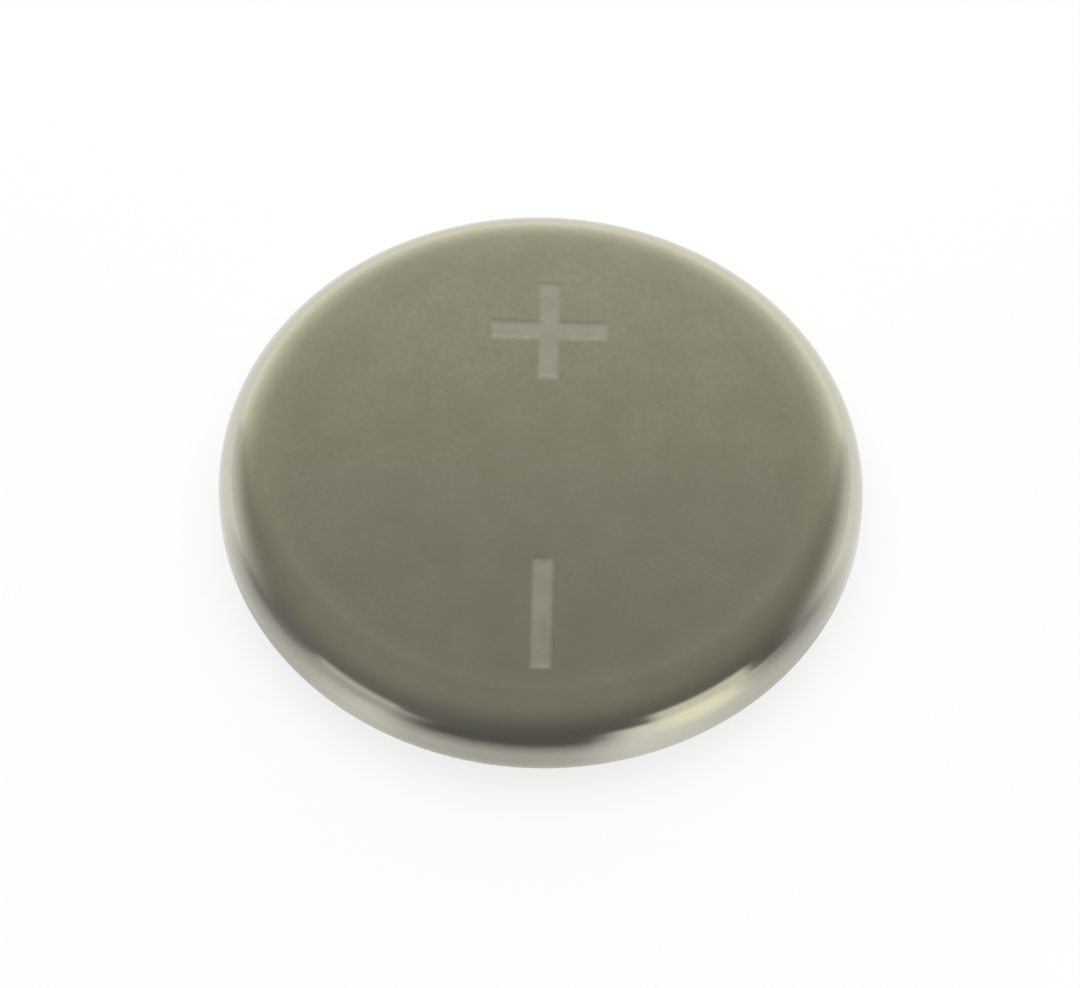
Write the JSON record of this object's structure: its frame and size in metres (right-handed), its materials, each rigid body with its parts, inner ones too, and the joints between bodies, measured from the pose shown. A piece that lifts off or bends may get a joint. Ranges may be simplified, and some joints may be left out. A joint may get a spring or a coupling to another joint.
{
  "type": "silver oxide button cell",
  "caption": "Thin coin-shaped silver oxide cell: a crimped nickel-plated can and a stepped cap, sealed by a nylon gasket, that powers a watch or a small instrument.",
  "frame": {"origin": "centre of the negative contact face, on the surface that the cell lies on", "axes": "+Z along the cell's axis, from the negative contact face to the positive face; X and Y are free, since every piece is round"},
  "size_m": [0.0094, 0.0094, 0.0016],
  "materials": {
    "can_nickel": "satin nickel plate on drawn steel",
    "silver_oxide": "pressed dark powder",
    "membrane_film": "thin dull film",
    "pad_felt": "non-woven fibre",
    "zinc_gel": "grainy metal paste",
    "gasket_nylon": "moulded nylon",
    "cap_nickel": "satin nickel on clad sheet"
  },
  "bodies": {
    "root": {"positive_can": "can_nickel", "cathode_pellet": "silver_oxide", "barrier_membrane": "membrane_film", "absorbent_pad": "pad_felt", "zinc_anode": "zinc_gel", "sealing_gasket": "gasket_nylon", "negative_cap": "cap_nickel"}
  },
  "joints": []
}
